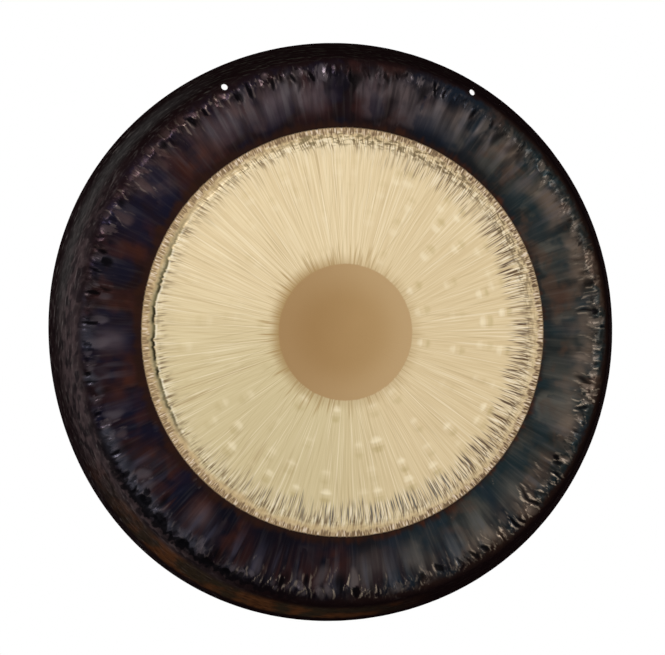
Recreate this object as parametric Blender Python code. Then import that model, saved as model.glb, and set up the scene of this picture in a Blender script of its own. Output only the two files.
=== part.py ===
"""A 28 inch hammered gong, as it hangs.

It is one round of sheet metal: a struck face with a flat disc in its middle, a shoulder bent over
in short hammer blows, and a wall that flares back to a ground edge. Two holes near the top take
the hanging cord. The axis runs along Y, the face looks along -Y and Z is up. The origin is on the
axis, midway between the face and the ground edge.
"""

import math
from collections import namedtuple

import bmesh
import bpy

# The round of metal, in metres and degrees
RIM_RADIUS = 0.3556  # 28 inches across the widest circle, which is the ground rear edge
DEPTH = 0.0615  # from the flat disc's face to the ground edge
SHEET = 0.0016  # thickness of the metal
DISC_RADIUS = 0.083  # the flat disc in the middle of the face
BRUSHED_RADIUS = 0.2483  # where the brushed metal ends and the dark ring starts
CROWN = 0.0025  # how far the face falls back between the disc and the shoulder
SHOULDER_BEND = 0.030  # outer radius of the bend from face to wall
FLARE = math.radians(22)  # between the wall and the axis
EDGE_RUN = 0.003  # last stretch of the wall, trued to run along the axis

# The hanging holes, drilled along the axis by hand, so that one lies a little further out
HOLE_DIAMETER = 0.0075
HOLE_TURN = math.radians(27.7)  # of each hole from the top
LEFT_HOLE_INSET = 0.0253  # from the rim to the middle of the hole
RIGHT_HOLE_INSET = 0.0204

# Hammer work: every dent is pressed in from outside and shows on both sides of the sheet
PUCKERS = 144  # short radial dents round the start of the shoulder
PUCKER_DEPTH = 0.0013
PUCKER_REACH = 0.007  # from the middle of a pucker to its end
FLUTE_DEPTH = 0.0007  # long soft dents across the dark ring, half as many as the puckers
WALL_DENT_DEPTH = 0.0006  # rows of dents round the shoulder and the wall

# The rim runs out of true by hand: waves round the turn, height of each, and where it stands out
RIM_WAVES = (
    (2, 0.00034, math.radians(170)),
    (3, 0.00048, math.radians(71)),
    (4, 0.00103, math.radians(-142)),
    (5, 0.00042, math.radians(82)),
)

# How finely the rings are divided: the puckers need two sides each, and the plainer rings fewer
PUCKER_SIDES = 2 * PUCKERS
OUTER_SIDES = PUCKER_SIDES // 2
INNER_SIDES = OUTER_SIDES // 2
DISC_SIDES = INNER_SIDES // 2
BRUSHED_RINGS = 3
FLUTE_SHARES = (0.35, 0.7)  # where the flutes' rings lie, between the brushed metal and the puckers
BEND_RINGS = 4
WALL_RINGS = 3
HOLE_SIDES = 24
CUTTER_MARGIN = 0.01  # the drill starts and ends this far clear of the metal
SMOOTH_UP_TO = math.radians(40)  # sharper turns than this, at the ground edge, stay crisp

# What follows from the driving sizes
BEND_DEPTH = SHOULDER_BEND * (1 - math.sin(FLARE))
BEND_WIDTH = SHOULDER_BEND * math.cos(FLARE)
WALL_DEPTH = DEPTH - CROWN - BEND_DEPTH - EDGE_RUN
SHOULDER_RADIUS = RIM_RADIUS - WALL_DEPTH * math.tan(FLARE) - BEND_WIDTH
WALL_TILT = math.pi / 2 - FLARE

# A circle of the sheet: how far out and back it lies, how far the sheet has turned over there,
# how many sides it has, and the depth of its dents as a function of the angle
Ring = namedtuple("Ring", "radius depth tilt sides dent")


def clear_scene():
    for thing in list(bpy.data.objects):
        bpy.data.objects.remove(thing, do_unlink=True)


def metal(name, colour, roughness, metallic):
    material = bpy.data.materials.new(name)
    material.use_nodes = True
    shader = material.node_tree.nodes["Principled BSDF"]
    shader.inputs["Base Color"].default_value = (*colour, 1)
    shader.inputs["Roughness"].default_value = roughness
    shader.inputs["Metallic"].default_value = metallic
    material.diffuse_color = (*colour, 1)
    return material


def face_ring(radius, sides, dent=None):
    """A ring of the nearly flat face, which falls back by the crown towards the shoulder."""
    share = (radius - DISC_RADIUS) / (SHOULDER_RADIUS - DISC_RADIUS)
    depth = CROWN * (1 - math.cos(math.pi * share)) / 2
    return Ring(radius, depth, 0, sides, dent)


def bend_ring(tilt, sides, dent=None):
    """A ring of the shoulder, by how far the sheet has turned over there."""
    radius = SHOULDER_RADIUS + SHOULDER_BEND * math.sin(tilt)
    depth = CROWN + SHOULDER_BEND * (1 - math.cos(tilt))
    return Ring(radius, depth, tilt, sides, dent)


def wall_ring(share, dent=None):
    """A ring of the flaring wall, at a share of the way down it."""
    depth = CROWN + BEND_DEPTH + share * WALL_DEPTH
    radius = SHOULDER_RADIUS + BEND_WIDTH + share * WALL_DEPTH * math.tan(FLARE)
    return Ring(radius, depth, WALL_TILT, OUTER_SIDES, dent)


def dent_wave(count, depth, shift=0):
    """Dents side by side round a ring, as the depth of the metal at an angle."""
    return lambda angle: depth * (1 + math.cos(count * angle + shift)) / 2


def profile():
    """The rings of the outer surface, from the disc's edge to the ground edge."""
    flutes = dent_wave(PUCKERS // 2, FLUTE_DEPTH)
    puckers = dent_wave(PUCKERS, PUCKER_DEPTH)
    pucker_ends = dent_wave(PUCKERS, PUCKER_DEPTH / 2)
    rings = [face_ring(DISC_RADIUS, DISC_SIDES)]
    for ring in range(1, BRUSHED_RINGS + 1):
        share = ring / (BRUSHED_RINGS + 1)
        rings.append(face_ring(DISC_RADIUS + (BRUSHED_RADIUS - DISC_RADIUS) * share, INNER_SIDES))
    rings.append(face_ring(BRUSHED_RADIUS, OUTER_SIDES))
    flute_run = SHOULDER_RADIUS - PUCKER_REACH - BRUSHED_RADIUS
    for share in FLUTE_SHARES:
        rings.append(face_ring(BRUSHED_RADIUS + flute_run * share, OUTER_SIDES, flutes))
    rings += [
        face_ring(SHOULDER_RADIUS - PUCKER_REACH, PUCKER_SIDES, pucker_ends),
        face_ring(SHOULDER_RADIUS, PUCKER_SIDES, puckers),
        bend_ring(PUCKER_REACH / SHOULDER_BEND, PUCKER_SIDES, pucker_ends),
    ]
    for ring in range(1, BEND_RINGS + 1):
        tilt = WALL_TILT * (ring + 1) / (BEND_RINGS + 1)
        dents = dent_wave(PUCKERS // 2, WALL_DENT_DEPTH, math.pi * ring)
        rings.append(bend_ring(tilt, OUTER_SIDES, dents))
    for ring in range(1, WALL_RINGS + 1):
        dents = dent_wave(PUCKERS // 2, WALL_DENT_DEPTH, math.pi * (BEND_RINGS + ring))
        rings.append(wall_ring(ring / (WALL_RINGS + 1), dents))
    rings += [
        Ring(RIM_RADIUS, DEPTH - EDGE_RUN, math.pi / 2 - FLARE / 2, OUTER_SIDES, None),
        Ring(RIM_RADIUS, DEPTH, math.pi / 2, OUTER_SIDES, None),
    ]
    return rings


def out_of_true(angle, radius):
    """How far the metal stands out at an angle: nothing on the face, and most at the rim."""
    share = max(0.0, (radius - SHOULDER_RADIUS) / (RIM_RADIUS - SHOULDER_RADIUS))
    return share * sum(high * math.cos(count * angle - turn) for count, high, turn in RIM_WAVES)


def ring_point(ring, angle, inset):
    """A point of a ring, pressed in from the outer surface by its dent and by the inset."""
    pressed = inset + (ring.dent(angle) if ring.dent else 0)
    out = ring.radius + out_of_true(angle, ring.radius) - pressed * math.sin(ring.tilt)
    back = ring.depth + pressed * math.cos(ring.tilt) - DEPTH / 2
    return out * math.cos(angle), back, out * math.sin(angle)


def stitch(mesh, inner, outer, outward):
    """Faces between two rings, where the counts are equal or one is twice the other."""
    if len(inner) > len(outer):
        inner, outer, outward = outer, inner, not outward
    split = len(outer) // len(inner)
    for index, near in enumerate(inner):
        after = inner[(index + 1) % len(inner)]
        first = index * split
        far = [outer[(first + step) % len(outer)] for step in range(split + 1)]
        if split == 1:
            loops = [(near, *far, after)]
        else:
            loops = [(near, far[0], far[1]), (near, far[1], after), (after, far[1], far[2])]
        for loop in loops:
            mesh.faces.new(loop if outward else tuple(reversed(loop)))


def surface(mesh, rings, inset, outward):
    """One side of the sheet: a fan over the disc, then ring after ring. It returns the last ring."""
    middle = mesh.verts.new((0, inset - DEPTH / 2, 0))
    circles = []
    for ring in rings:
        angles = (2 * math.pi * side / ring.sides for side in range(ring.sides))
        circles.append([mesh.verts.new(ring_point(ring, angle, inset)) for angle in angles])
    disc = circles[0]
    for index, point in enumerate(disc):
        fan = (middle, point, disc[(index + 1) % len(disc)])
        mesh.faces.new(fan if outward else tuple(reversed(fan)))
    for inner, outer in zip(circles, circles[1:]):
        stitch(mesh, inner, outer, outward)
    return circles[-1]


def paint_zones(data):
    """Gives each face the finish of its place: disc, brushed metal or fire-dark metal."""
    for face in data.polygons:
        reach = math.hypot(face.center.x, face.center.z)
        behind = face.normal.y > 0
        face.material_index = 2 if behind or reach > BRUSHED_RADIUS else int(reach > DISC_RADIUS)


def gong_sheet():
    rings = profile()
    mesh = bmesh.new()
    front_edge = surface(mesh, rings, 0, True)
    back_edge = surface(mesh, rings, SHEET, False)
    stitch(mesh, front_edge, back_edge, True)
    data = bpy.data.meshes.new("gong_sheet")
    mesh.to_mesh(data)
    mesh.free()
    data.materials.append(metal("waxed_brown_disc", (0.37, 0.24, 0.12), 0.45, 0.8))
    data.materials.append(metal("brushed_pale_bronze", (0.72, 0.57, 0.37), 0.4, 1.0))
    data.materials.append(metal("fire_dark_bronze", (0.045, 0.032, 0.03), 0.4, 0.6))
    paint_zones(data)
    data.shade_smooth()
    data.set_sharp_from_angle(angle=SMOOTH_UP_TO)
    gong = bpy.data.objects.new("gong_sheet", data)
    bpy.context.scene.collection.objects.link(gong)
    return gong


def drill(gong, name, radius, turn):
    """A hanging hole, cut along the axis at a radius and a turn from the top."""
    mesh = bmesh.new()
    bmesh.ops.create_cone(
        mesh,
        cap_ends=True,
        segments=HOLE_SIDES,
        radius1=HOLE_DIAMETER / 2,
        radius2=HOLE_DIAMETER / 2,
        depth=DEPTH + 2 * CUTTER_MARGIN,
    )
    data = bpy.data.meshes.new(name)
    mesh.to_mesh(data)
    mesh.free()
    cutter = bpy.data.objects.new(name, data)
    cutter.rotation_euler = (math.pi / 2, 0, 0)
    cutter.location = (radius * math.sin(turn), 0, radius * math.cos(turn))
    cutter.hide_render = True
    cutter.display_type = "WIRE"
    bpy.context.scene.collection.objects.link(cutter)
    cut = gong.modifiers.new(name, "BOOLEAN")
    cut.operation = "DIFFERENCE"
    cut.solver = "EXACT"
    cut.object = cutter


clear_scene()
gong = gong_sheet()
drill(gong, "left_hanging_hole", RIM_RADIUS - LEFT_HOLE_INSET, -HOLE_TURN)
drill(gong, "right_hanging_hole", RIM_RADIUS - RIGHT_HOLE_INSET, HOLE_TURN)
bottom_reach = RIM_RADIUS + out_of_true(-math.pi / 2, RIM_RADIUS) - SHEET / 2
print("shoulder starts at radius", round(SHOULDER_RADIUS, 4), "m")
print("middle of the ground edge at the bottom", (0, round(DEPTH / 2, 5), -round(bottom_reach, 5)))
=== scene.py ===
# %% [markdown]
# # A hammered gong
# This gong is one round of bronze, 28 inches across. Its middle is a plain brown disc, a wide ring
# round that is brushed pale in lines that run out from the centre, and the rest still has the
# dark colours of the fire. The lesson builds the sheet as one fine mesh, works the hammer blows
# into it, cuts the two hanging holes and then gives the metal its finish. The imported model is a
# fixed frame: it says where the front and the ground edge lie, and nothing here moves it.

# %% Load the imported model
import math

import bpy
import numpy as np
from mathutils import Matrix, Vector


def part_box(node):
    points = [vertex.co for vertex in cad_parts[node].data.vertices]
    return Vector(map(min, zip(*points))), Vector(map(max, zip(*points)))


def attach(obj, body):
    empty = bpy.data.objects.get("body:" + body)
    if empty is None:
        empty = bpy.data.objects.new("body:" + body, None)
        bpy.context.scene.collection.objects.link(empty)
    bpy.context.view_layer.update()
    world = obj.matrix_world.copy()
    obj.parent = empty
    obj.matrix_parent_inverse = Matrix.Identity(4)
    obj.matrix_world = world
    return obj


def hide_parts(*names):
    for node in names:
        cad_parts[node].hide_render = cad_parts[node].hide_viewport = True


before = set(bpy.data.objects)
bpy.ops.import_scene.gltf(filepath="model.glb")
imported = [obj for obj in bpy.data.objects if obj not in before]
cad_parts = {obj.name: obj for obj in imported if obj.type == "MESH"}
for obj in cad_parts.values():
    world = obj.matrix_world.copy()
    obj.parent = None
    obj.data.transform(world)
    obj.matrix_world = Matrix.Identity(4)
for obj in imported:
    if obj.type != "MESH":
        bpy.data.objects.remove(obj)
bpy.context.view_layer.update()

front_corner, rear_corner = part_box("gong_sheet")
FRONT = front_corner.y
DEPTH = rear_corner.y - front_corner.y
print("front of the disc at y", round(FRONT, 5), "and depth", round(DEPTH, 5))

# %% [markdown]
# ## The shape of the sheet
# A maker thinks of a gong as a line that is spun round the axis: flat over the disc, falling back
# a little across the face, bent over a round shoulder and flaring out to the ground edge. These
# are the sizes of that line. What can be worked out from them is worked out, so that the bend
# and the wall always meet.

# %% Sizes of the line
MM = 0.001
RIM_RADIUS = 355.6 * MM  # the ground edge, half of 28 inches
SHEET = 1.6 * MM  # thickness of the metal
DISC_RADIUS = 83 * MM
CROWN = 2.5 * MM  # how far the face falls back before the shoulder
SHOULDER_BEND = 30 * MM
FLARE = math.radians(22)  # between the wall and the axis
EDGE_RUN = 3 * MM  # the last of the wall runs along the axis
WALL_TILT = math.pi / 2 - FLARE
WALL_DEPTH = DEPTH - CROWN - SHOULDER_BEND * (1 - math.sin(FLARE)) - EDGE_RUN
WALL_LENGTH = WALL_DEPTH / math.cos(FLARE)
SHOULDER_RADIUS = RIM_RADIUS - WALL_DEPTH * math.tan(FLARE) - SHOULDER_BEND * math.cos(FLARE)

# Distances along the metal from the middle of the disc, which this lesson calls the reach
WALL_START = SHOULDER_RADIUS + SHOULDER_BEND * WALL_TILT
EDGE_START = WALL_START + WALL_LENGTH
END = EDGE_START + EDGE_RUN
TURN = 2 * math.pi
starts = [round(reach / MM, 1) for reach in (SHOULDER_RADIUS, WALL_START, EDGE_START)]
print("shoulder, wall and edge start at a reach of", starts, "mm")


# %% [markdown]
# ## Walking along the line
# One function gives, for any reach, how far out the metal is, how far back it lies and how far
# it has turned over. It works on whole arrays, so that every point of the mesh takes one call.

# %% The line as a function
def line_at(reach):
    """Radius, depth and tilt of the outer surface at a reach."""
    face = np.clip((reach - DISC_RADIUS) / (SHOULDER_RADIUS - DISC_RADIUS), 0, 1)
    tilt = np.clip((reach - SHOULDER_RADIUS) / SHOULDER_BEND, 0, WALL_TILT)
    wall = np.clip(reach - WALL_START, 0, WALL_LENGTH)
    edge = np.clip(reach - EDGE_START, 0, EDGE_RUN)
    radius = np.minimum(reach, SHOULDER_RADIUS) + SHOULDER_BEND * np.sin(tilt) + wall * math.sin(FLARE)
    depth = CROWN * (1 - np.cos(math.pi * face)) / 2 + SHOULDER_BEND * (1 - np.cos(tilt))
    depth = depth + wall * math.cos(FLARE) + edge
    turned = np.clip((reach - EDGE_START + EDGE_RUN) / (2 * EDGE_RUN), 0, 1)
    return radius, depth, tilt + FLARE * turned


end_radius, end_depth, _ = (round(float(value) / MM, 2) for value in line_at(END))
print("the line ends at radius", end_radius, "and depth", end_depth, "mm")


# %% [markdown]
# ## Chance that always falls the same way
# Hammer work is never regular, yet the script has to give the same gong each time it runs. So
# the spread of every dent comes from its own number: a sine of that number, multiplied until
# only its last digits are left, looks like chance and never changes.

# %% Chance and soft noise round the turn
def chance(number, salt):
    """A share from 0 to 1 for each whole number, always the same for the same salt."""
    spread = np.sin(np.asarray(number) * 12.9898 + salt * 78.233 + 4.1) * 43758.5453
    return spread - np.floor(spread)


def between(low, high, share):
    """The value at a share of the way from low to high."""
    return low + (high - low) * share


def soft_step(value):
    """0 below 0 and 1 above 1, with a soft turn at both."""
    value = np.clip(value, 0, 1)
    return value * value * (3 - 2 * value)


def lumps(angle, count, salt):
    """Soft noise from 0 to 1 with so many lumps round the turn, where its end meets its start."""
    place = np.mod(angle, TURN) / TURN * count
    before = np.floor(place)
    left = chance(np.mod(before, count), salt)
    right = chance(np.mod(before + 1, count), salt)
    return between(left, right, soft_step(place - before))


# %% [markdown]
# ## One hammer, many rows
# Nearly everything on this surface is a row of dents: long flutes across the dark ring, short
# puckers at the start of the shoulder, small overlapping blows down the wall, and the soft
# bosses left standing on the brushed face. One function makes them all. A dent is a round or
# drawn-out bowl, as wide and as long as its own chance says, and may lie aslant. Where two
# overlap, the deeper one wins, which leaves the sharp ridge between blows that hammered metal
# has. Each dent also has a tone of its own, because the fire colours change from one blow to
# the next. A row gives both.

# %% A row of dents
DENT_JITTER = 0.7  # how far a dent may lie off its even place, as a share of the spacing


def row_of_dents(
    angle,
    reach,
    count,
    place,
    scatter,
    width,
    length,
    depth,
    salt,
    power=1.5,
    slant=0.0,
    ends=2,
):
    """Depth and tone of a row of dents. Width, length and depth are the least and the most."""
    first = np.floor(np.mod(angle, TURN) / TURN * count)
    pressed = np.zeros_like(reach)
    tones = np.zeros_like(reach)
    for step in (-2, -1, 0, 1, 2):
        dent = np.mod(first + step, count)
        middle = (dent + 0.5 + DENT_JITTER * (chance(dent, salt) - 0.5)) / count * TURN
        away = np.mod(angle - middle + math.pi, TURN) - math.pi
        along = reach - place - scatter * (chance(dent, salt + 1) - 0.5) * 2
        half_width = between(*width, chance(dent, salt + 2)) / 2
        half_length = between(*length, chance(dent, salt + 3)) / 2
        across = away * np.minimum(reach, RIM_RADIUS) - slant * along
        inside = 1 - (across / half_width) ** 2 - np.abs(along / half_length) ** ends
        bowl = between(*depth, chance(dent, salt + 4)) * np.maximum(inside, 0) ** power
        wins = bowl > pressed
        pressed = np.where(wins, bowl, pressed)
        tones = np.where(wins, chance(dent, salt + 5), tones)
    return pressed, tones


def deeper(one, other):
    """Of two rows, the depth and the tone of whichever is deeper."""
    wins = one[0] > other[0]
    return np.where(wins, one[0], other[0]), np.where(wins, one[1], other[1])


# %% [markdown]
# ## The brushed face
# The pale ring was planished from behind, which left rings of low bosses about 15 mm across.
# The mesh may only be pressed in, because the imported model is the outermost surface. So the
# face is let down by less than half a millimetre beyond the disc, and the bosses come back up
# to the old level. On the left a crease runs along the outside of the brushed plate, where the
# plate stands a little proud of the band that frames it.

# %% Sizes of the bosses and the crease
BOSS_HEIGHT = 0.5 * MM
BOSS_SIZE = (16 * MM, 24 * MM)
BOSS_SCATTER = 2.5 * MM
BOSS_RINGS = ((101, 13), (143, 19), (176, 25), (200, 36))  # radius in mm and number round it
FALL_RUN = 9 * MM  # the face falls by the height of a boss in this run outside the disc
RISE_START, RISE_RUN = 212 * MM, 30 * MM  # and comes back up here
CREASE_RADIUS = 234 * MM
CREASE_STEP = 0.6 * MM
CREASE_RUN = 1.6 * MM
CREASE_SIDE = math.radians(176)  # the crease is deepest here and gone a quarter turn away
BAND_START, BAND_RUN = 240 * MM, 8 * MM  # the step of the crease is made up again here
print(sum(count for _, count in BOSS_RINGS), "bosses in", len(BOSS_RINGS), "rings")


# %% [markdown]
# The crease isn't a clean circle. It runs in scallops, one for each stroke that stopped there,
# so its radius is the sum of three noises round the turn.

# %% Pressed depth of the face
def crease_share(angle):
    """How strongly the crease shows at an angle, from 0 to 1."""
    return soft_step(1.7 * np.cos(angle - CREASE_SIDE) - 0.35)


def crease_line(angle):
    """Radius of the crease, which runs in small scallops."""
    scallops = 2.2 * lumps(angle, 110, 21) + 1.6 * lumps(angle, 190, 24) + 3.0 * lumps(angle, 40, 22)
    return CREASE_RADIUS + (scallops - 3.4) * MM


def bosses(angle, reach):
    """How high the bosses stand, from 0 to 1."""
    standing = np.zeros_like(reach)
    for ring, (radius, count) in enumerate(BOSS_RINGS):
        boss, _ = row_of_dents(
            angle,
            reach,
            count=count,
            place=radius * MM,
            scatter=BOSS_SCATTER,
            width=BOSS_SIZE,
            length=BOSS_SIZE,
            depth=(0.35, 1.0),
            salt=30 + 7 * ring,
        )
        standing = np.maximum(standing, boss)
    return standing


def pressed_face(angle, reach):
    """How deep the face is pressed, between the bosses and beyond the crease."""
    lowered = BOSS_HEIGHT * soft_step((reach - DISC_RADIUS) / FALL_RUN)
    lowered = lowered * (1 - soft_step((reach - RISE_START) / RISE_RUN))
    past = (reach - crease_line(angle)) / CREASE_RUN
    step = soft_step(past + 0.5) * (1 - soft_step((reach - BAND_START) / BAND_RUN))
    return lowered * (1 - bosses(angle, reach)) + CREASE_STEP * step * crease_share(angle)


# %% [markdown]
# ## The flutes
# Outside the brushed ring the maker drew the hammer outwards in long soft strokes, broad ones
# first and narrow ones between them. They start at different distances, with a rounded end, and
# run out to the shoulder. On the left they start further out, behind a plain brown border.

# %% Depth and tone of the flutes
FLUTE_MIDDLE = 287 * MM
BORDER_SIDE = math.radians(150)  # the plain border is widest here


def flutes(angle, reach):
    """Depth and tone of the broad flutes and the narrow ones between them."""
    place = FLUTE_MIDDLE + 6 * MM * np.cos(angle - BORDER_SIDE)
    broad = row_of_dents(
        angle,
        reach,
        count=31,
        place=place,
        scatter=4 * MM,
        width=(34 * MM, 62 * MM),
        length=(56 * MM, 70 * MM),
        depth=(0.5 * MM, 1.3 * MM),
        salt=50,
        power=1.15,
        ends=5,
    )
    narrow = row_of_dents(
        angle,
        reach,
        count=82,
        place=place + 3 * MM,
        scatter=8 * MM,
        width=(9 * MM, 27 * MM),
        length=(34 * MM, 66 * MM),
        depth=(0.3 * MM, 1.1 * MM),
        salt=57,
        power=1.2,
        ends=4,
    )
    _, tones = deeper(broad, narrow)
    return np.maximum(broad[0], 0.45 * broad[0] + 0.6 * narrow[0]), tones


# %% [markdown]
# ## The puckers
# Where the metal starts to bend it had to be shrunk, and every blow there left a short deep
# pucker. Some were struck bright and some kept their soot. A few are much larger than the rest,
# or lie by themselves near the brushed edge. Those are listed one by one: a chain of bright ones
# at the upper left, black hollows at the lower left, and single ones elsewhere.

# %% Large puckers
LARGE_PUCKERS = (
    # angle in degrees, radius, width, length and depth in mm, and tone
    (119.5, 321, 13, 13, 1.5, 0.75),
    (101.5, 317, 14, 18, 1.3, 0.7),
    (109, 325, 12, 15, 1.5, 0.85),
    (129.5, 326, 13, 16, 1.7, 0.9),
    (133.8, 328, 15, 20, 2.0, 0.95),
    (139, 326, 13, 15, 1.6, 0.9),
    (144.5, 320, 10, 15, 1.5, 0.85),
    (150.5, 325, 10, 13, 1.5, 0.85),
    (155.5, 323, 10, 15, 1.6, 0.9),
    (165, 303, 16, 24, 2.0, 0.1),
    (331, 308, 10, 16, 1.9, 0.1),
    (336, 299, 4, 5, 1.0, 0.9),
    (262, 306, 11, 24, 1.5, 0.1),
    (220.5, 319, 24, 17, 2.4, 0.05),
    (226.5, 320, 19, 15, 2.4, 0.05),
    (233, 322, 20, 16, 2.4, 0.05),
    (239.5, 324, 24, 14, 2.4, 0.05),
    (244, 325, 16, 14, 2.3, 0.05),
    (205, 299, 14, 20, 1.2, 0.7),
    (78, 262, 13, 14, 0.9, 0.6),
    (82.5, 259, 8, 12, 0.8, 0.6),
    (207, 258, 11, 12, 0.9, 0.6),
    (226, 258, 11, 12, 0.9, 0.5),
    (300, 257, 16, 14, 0.8, 0.5),
    (315, 256, 16, 12, 0.7, 0.5),
)


def large_puckers(angle, reach):
    """Depth and tone of the puckers that are placed by hand."""
    pressed = np.zeros_like(reach)
    tones = np.zeros_like(reach)
    for turned, radius, width, length, depth, tone_here in LARGE_PUCKERS:
        away = np.mod(angle - math.radians(turned) + math.pi, TURN) - math.pi
        across = away * radius * MM / (width / 2 * MM)
        along = (reach - radius * MM) / (length / 2 * MM)
        inside = np.maximum(1 - across**2 - along**2, 0)
        bowl = depth * MM * inside**1.3
        pressed, tones = deeper((pressed, tones), (bowl, tone_here + 0 * bowl))
    return pressed, tones


print(len(LARGE_PUCKERS), "large puckers")


# %% [markdown]
# The other puckers come in three rows that overlap: long shallow folds that run in from the
# bend, short deep ones on them, and small nicks. A row is never even, so the places are bent a
# little before the dents are read there.

# %% Depth and tone of all puckers
def puckers(angle, reach):
    """Depth and tone of the folds, the short puckers, the nicks and the large ones."""
    bent_reach = reach + 3 * MM * (lumps(angle, 170, 77) - 0.5) + 5 * MM * (lumps(angle, 60, 78) - 0.5)
    bent_angle = angle + 0.006 * np.sin(reach / (6 * MM) + 6 * lumps(angle, 90, 79))
    folds = row_of_dents(
        bent_angle,
        bent_reach,
        count=86,
        place=304 * MM,
        scatter=5 * MM,
        width=(8 * MM, 20 * MM),
        length=(26 * MM, 46 * MM),
        depth=(0.4 * MM, 1.5 * MM),
        salt=84,
        power=1.3,
        slant=-0.12,
    )
    short = row_of_dents(
        bent_angle,
        bent_reach,
        count=158,
        place=316 * MM,
        scatter=5 * MM,
        width=(5 * MM, 13 * MM),
        length=(14 * MM, 32 * MM),
        depth=(0.6 * MM, 2.4 * MM),
        salt=64,
        power=1.2,
        slant=0.18,
    )
    small = row_of_dents(
        bent_angle,
        bent_reach,
        count=230,
        place=319 * MM,
        scatter=7 * MM,
        width=(4 * MM, 8 * MM),
        length=(8 * MM, 19 * MM),
        depth=(0.4 * MM, 1.2 * MM),
        salt=71,
        power=1.2,
        slant=-0.3,
    )
    return deeper(deeper(folds, deeper(short, small)), large_puckers(angle, bent_reach))


# %% [markdown]
# ## The wall
# The wall was closed up with many small blows side by side, each about 14 mm long and drawn out
# round the turn, in rows that overlap like scales. The last few millimetres were trued on the
# grinder, so the blows fade out before the edge.

# %% Depth and tone of the blows on the wall
SCALE_ROWS = 15
SCALE_SPACING = 4.6 * MM
SCALE_START = 327 * MM


def scales(angle, reach):
    """Depth and tone of the overlapping blows on the wall."""
    pressed = np.zeros_like(reach)
    tones = np.zeros_like(reach)
    for row in range(SCALE_ROWS):
        place = SCALE_START + row * SCALE_SPACING
        near = np.abs(reach - place) < 2 * SCALE_SPACING
        blows = row_of_dents(
            angle[near] + row * 0.37,
            reach[near],
            count=156 + 5 * (row % 4),
            place=place,
            scatter=2.6 * MM,
            width=(9 * MM, 18 * MM),
            length=(5.5 * MM, 11 * MM),
            depth=(0.2 * MM, 0.8 * MM),
            salt=100 + 9 * row,
            power=1.2,
            slant=0.45,
        )
        pressed[near], tones[near] = deeper((pressed[near], tones[near]), blows)
    fading = 1 - soft_step((reach - EDGE_START + 5 * MM) / (7 * MM))
    return pressed * fading, tones


def pressed_in(angle, reach):
    """How deep the metal is pressed below the plain spun shape, everywhere."""
    ring = np.maximum(flutes(angle, reach)[0], puckers(angle, reach)[0])
    return pressed_face(angle, reach) + ring + scales(angle, reach)[0]


# %% [markdown]
# ## What the blows tell the finish
# The finish has to know where the dents are: soot stays in the deep ones and the ridges get a
# painted highlight. Both can be worked out here and stored with the points of the mesh, as named
# attributes that a shader can read. The fire also left areas of rust-brown and blue-black, and
# paler lobes where the metal was hottest. They lie where the flame was, so they are listed round
# the turn one by one and stored in the same way.

# %% Where the fire left its colours
# Each area has an angle and a half width, in degrees
RUSTY = (
    (8, 7), (131, 7), (160, 3), (176, 4), (192, 8), (204, 3),
    (215, 5), (220, 2.5), (231, 3), (242, 3), (268, 4),
)
PALE = (
    (66, 5), (100, 4), (109, 4), (123, 6), (183, 3), (232, 3),
    (278, 4), (288, 3), (307, 5), (318, 4), (345, 5),
)
BLUE_BLACK = (
    (65, 10), (145, 6), (154, 6), (182, 5), (200, 4), (208, 3),
    (223, 3), (284, 4), (297, 6), (313, 2), (339, 2),
)
print(len(RUSTY), "rust-brown,", len(PALE), "pale and", len(BLUE_BLACK), "blue-black areas")


def spread_round(angle, places):
    """Soft areas round the turn, each at an angle and with a half width in degrees."""
    strength = np.zeros_like(angle)
    for turned, half_width in places:
        away = np.mod(angle - math.radians(turned) + math.pi, TURN) - math.pi
        strength = np.maximum(strength, 1 - soft_step(np.abs(away) / math.radians(half_width * 1.6)))
    return strength


# %% [markdown]
# A ridge is where a point stands above its neighbours on both sides. So the depth is read three
# times: here, and a step before and after along a chosen direction. The middle one is then
# taken from the mean of the other two.

# %% Ridges between the blows
RIDGE_STEP = 2.4 * MM
FULL_RIDGE = 0.45 * MM  # a ridge of this height counts as 1


def crest(hammered, angle, reach, forward, round_it):
    """How far a point stands above its neighbours, so many steps further out and round the turn."""
    turn = round_it * RIDGE_STEP / np.maximum(reach, RIDGE_STEP)
    here = hammered(angle, reach)[0]
    before = hammered(angle - turn, reach - forward * RIDGE_STEP)[0]
    after = hammered(angle + turn, reach + forward * RIDGE_STEP)[0]
    return np.clip(((before + after) / 2 - here) / FULL_RIDGE, -1, 1)


# %% [markdown]
# All marks come from one function, so the mesh asks once and the finish can read each by name.
# Depths are divided by one that is common in their row, so that a mark runs from about 0 to 1.

# %% The marks
BOSS_FLANK = 3.5 * MM  # the slope of a boss is measured over twice this


def marks_at(angle, reach):
    """All that the finish reads from the mesh."""
    flute_depth, flute_tone = flutes(angle, reach)
    pucker_depth, pucker_tone = puckers(angle, reach)
    scale_depth, scale_tone = scales(angle, reach)
    ahead = bosses(angle, reach + BOSS_FLANK)
    behind = bosses(angle, reach - BOSS_FLANK)
    return {
        "flute_depth": flute_depth / (1.3 * MM),
        "flute_tone": flute_tone,
        "pucker_depth": pucker_depth / (1.7 * MM),
        "pucker_tone": pucker_tone,
        "pucker_crest": crest(puckers, angle, reach, 0.3, 1),
        "scale_crest": crest(scales, angle, reach, 1, 0.4),
        "scale_depth": scale_depth / (0.8 * MM),
        "scale_tone": scale_tone,
        "boss_slope": ahead - behind,
        "past_crease": np.clip((reach - crease_line(angle)) / MM, -12, 12),
        "rusty": spread_round(angle, RUSTY),
        "blue_black": spread_round(angle, BLUE_BLACK),
        "pale": spread_round(angle, PALE),
    }


# %% [markdown]
# ## Out of true
# No hammered rim is a perfect circle. Seen from the front this one waves in and out by about a
# millimetre, two to five times round the turn. The waves grow from nothing at the shoulder.

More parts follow.
